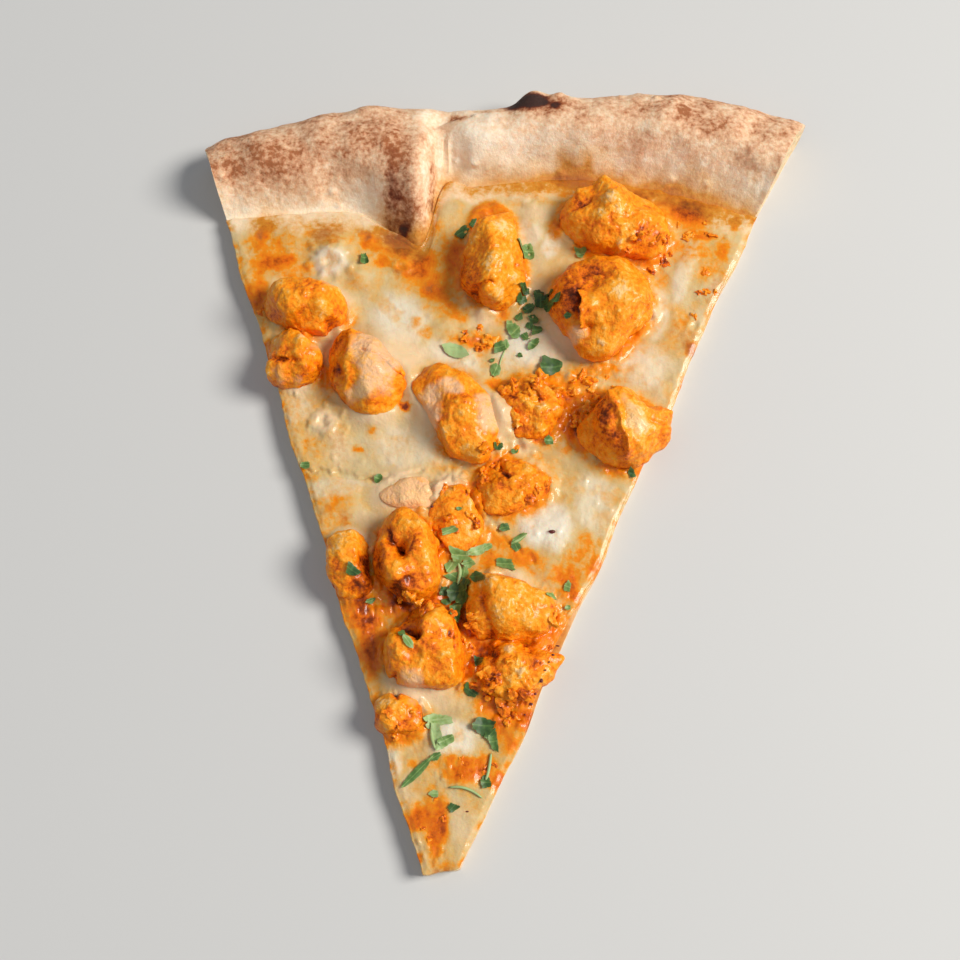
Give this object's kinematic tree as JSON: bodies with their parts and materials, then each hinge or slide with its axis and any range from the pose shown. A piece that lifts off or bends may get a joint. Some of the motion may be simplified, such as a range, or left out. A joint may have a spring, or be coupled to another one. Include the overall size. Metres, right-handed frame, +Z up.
{
  "type": "chicken pizza slice",
  "caption": "Large thin-crust pizza slice with melted cheese, sauced chicken chunks and chopped parsley, lying flat with its raised crust rim and one blunt tip.",
  "frame": {"origin": "on the floor under the middle of the slice's bounding box", "axes": "+Y from the tip towards the crust, +Z up, +X to the right as seen from the tip"},
  "size_m": [0.1892, 0.2444, 0.0222],
  "materials": {
    "baked_dough": "dry baked dough, freckled brown and charred on the rim",
    "melted_cheese": "melted cheese, soft sheen with orange sauce stains",
    "sauced_chicken": "cooked chicken in a wet orange sauce",
    "parsley": "chopped green leaf"
  },
  "bodies": {
    "root": {"dough": "baked_dough", "cheese": "melted_cheese", "chicken_01": "sauced_chicken", "chicken_02": "sauced_chicken", "chicken_03": "sauced_chicken", "chicken_04": "sauced_chicken", "chicken_05": "sauced_chicken", "chicken_06": "sauced_chicken", "chicken_07": "sauced_chicken", "chicken_08": "sauced_chicken", "chicken_09": "sauced_chicken", "chicken_10": "sauced_chicken", "chicken_11": "sauced_chicken", "chicken_12": "sauced_chicken", "chicken_13": "sauced_chicken", "chicken_14": "sauced_chicken", "chicken_15": "sauced_chicken", "chicken_16": "sauced_chicken", "chicken_17": "sauced_chicken", "chicken_18": "sauced_chicken"}
  },
  "joints": []
}
